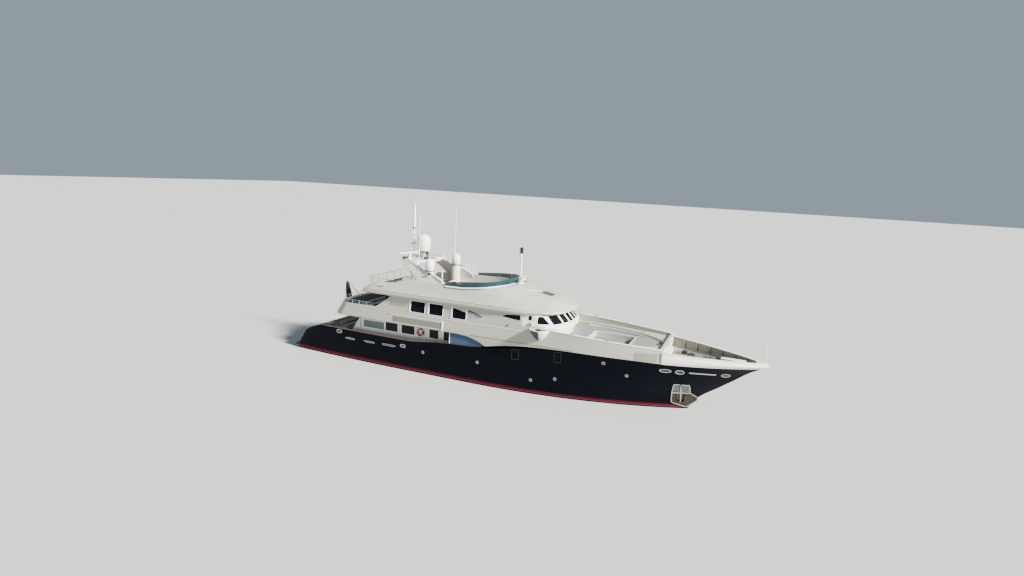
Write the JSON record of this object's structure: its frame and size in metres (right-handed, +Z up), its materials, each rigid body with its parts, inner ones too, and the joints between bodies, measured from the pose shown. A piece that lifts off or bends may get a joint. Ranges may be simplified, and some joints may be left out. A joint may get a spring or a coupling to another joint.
{
  "type": "motor yacht, 1:2 scale model",
  "caption": "Three-deck displacement motor yacht with a dark hull, pale superstructure, radar arch, twin screws and rudders, transom garage door and sliding deck doors, as a 1:2 scale model.",
  "frame": {"origin": "amidships on the centre line, at the waterline the yacht floats to", "axes": "+X to the bow, +Y to port, +Z up"},
  "size_m": [25.55, 5.382, 9.875],
  "materials": {
    "hull_navy": "gloss",
    "white": "gloss",
    "steel": "satin",
    "bronze": "satin",
    "glass": "polished",
    "teak": "oiled",
    "cushion": "woven",
    "cloth": "woven",
    "dark": "satin"
  },
  "bodies": {
    "ship": {"hull": "hull_navy", "swim_platform": "teak", "shaft_bossing_stbd": "bronze", "shaft_bossing_port": "bronze", "anchor_plate_stbd": "steel", "anchor_plate_port": "steel", "anchor_stbd": "steel", "anchor_port": "steel", "upper_shell": "white", "upper_glass_stbd": "glass", "upper_glass_port": "glass", "main_house": "white", "main_glass_stbd": "glass", "main_glass_port": "glass", "side_screen_stbd": "glass", "side_screen_port": "glass", "wheelhouse": "white", "wheelhouse_glass": "glass", "helm_console": "dark", "wing_tub_stbd": "white", "wing_tub_port": "white", "bow_bulwark": "white", "sun_deck": "white", "windscreen": "glass", "radar_arch": "white", "main_dome": "white", "dome_stbd": "white", "dome_port": "white", "sun_bar": "white", "mast_pole": "white", "jackstaff": "white", "foremast": "white", "ensign_staff": "white", "ensign": "cloth", "mooring_gear": "steel", "bow_locker": "white", "aft_sofa": "white", "aft_sofa_cushion": "cushion", "upper_sofa": "white", "upper_sofa_cushion": "cushion", "sun_sofa": "white", "sun_sofa_cushion": "cushion", "sun_pad": "cushion", "aft_table": "teak", "upper_table": "teak", "upper_rail": "steel", "sun_rail": "steel"},
    "propeller_s": {"propeller_stbd": "bronze"},
    "propeller_p": {"propeller_port": "bronze"},
    "rudder_s": {"rudder_stbd": "hull_navy"},
    "rudder_p": {"rudder_port": "hull_navy"},
    "scanner_aft": {"radar_scanner_aft": "white"},
    "scanner_fore": {"radar_scanner_fore": "white"},
    "garage_door": {"transom_door": "hull_navy"},
    "saloon_door_s": {"saloon_door_stbd": "glass"},
    "saloon_door_p": {"saloon_door_port": "glass"},
    "upper_door_s": {"upper_door_stbd": "glass"},
    "upper_door_p": {"upper_door_port": "glass"},
    "locker_lid": {"bow_locker_lid": "white"}
  },
  "joints": [
    {"name": "propeller_spin_stbd", "type": "hinge", "parent": "ship", "child": "propeller_s", "pos_m": [-10.0053, -0.95, -0.81], "axis": [1, 0, 0], "continuous": true},
    {"name": "propeller_spin_port", "type": "hinge", "parent": "ship", "child": "propeller_p", "pos_m": [-10.0053, 0.95, -0.81], "axis": [1, 0, 0], "continuous": true},
    {"name": "rudder_turn_port", "type": "hinge", "parent": "ship", "child": "rudder_p", "pos_m": [-10.7, 0.95, -0.6], "axis": [0, 0, 1], "range_deg": [-35, 35]},
    {"name": "rudder_turn_stbd", "type": "hinge", "parent": "ship", "child": "rudder_s", "pos_m": [-10.7, -0.95, -0.6], "axis": [0, 0, 1], "range_deg": [-35, 35]},
    {"name": "scanner_spin_aft", "type": "hinge", "parent": "ship", "child": "scanner_aft", "pos_m": [-5.7, -0.925, 6.05], "axis": [0, 0, 1], "continuous": true},
    {"name": "scanner_spin_fore", "type": "hinge", "parent": "ship", "child": "scanner_fore", "pos_m": [-4.65, 0, 6.05], "axis": [0, 0, 1], "continuous": true},
    {"name": "garage_door_lift", "type": "hinge", "parent": "ship", "child": "garage_door", "pos_m": [-12.00833, 0, 1.04], "axis": [0, 1, 0], "range_deg": [0, 85]},
    {"name": "saloon_door_slide_port", "type": "slide", "parent": "ship", "child": "saloon_door_p", "axis": [0, 1, 0], "range_m": [0, 0.4]},
    {"name": "saloon_door_slide_stbd", "type": "slide", "parent": "ship", "child": "saloon_door_s", "axis": [0, -1, 0], "range_m": [0, 0.4]},
    {"name": "upper_door_slide_port", "type": "slide", "parent": "ship", "child": "upper_door_p", "axis": [0, 1, 0], "range_m": [0, 0.4]},
    {"name": "upper_door_slide_stbd", "type": "slide", "parent": "ship", "child": "upper_door_s", "axis": [0, -1, 0], "range_m": [0, 0.4]},
    {"name": "locker_lid_lift", "type": "hinge", "parent": "ship", "child": "locker_lid", "pos_m": [10.975, 0.14, 2.6603], "axis": [-1, 0, 0], "range_deg": [0, 80]}
  ],
  "couplings": [
    {"joint": "rudder_turn_stbd", "follows": "rudder_turn_port", "ratio": 1},
    {"joint": "saloon_door_slide_stbd", "follows": "saloon_door_slide_port", "ratio": 1},
    {"joint": "upper_door_slide_stbd", "follows": "upper_door_slide_port", "ratio": 1}
  ]
}
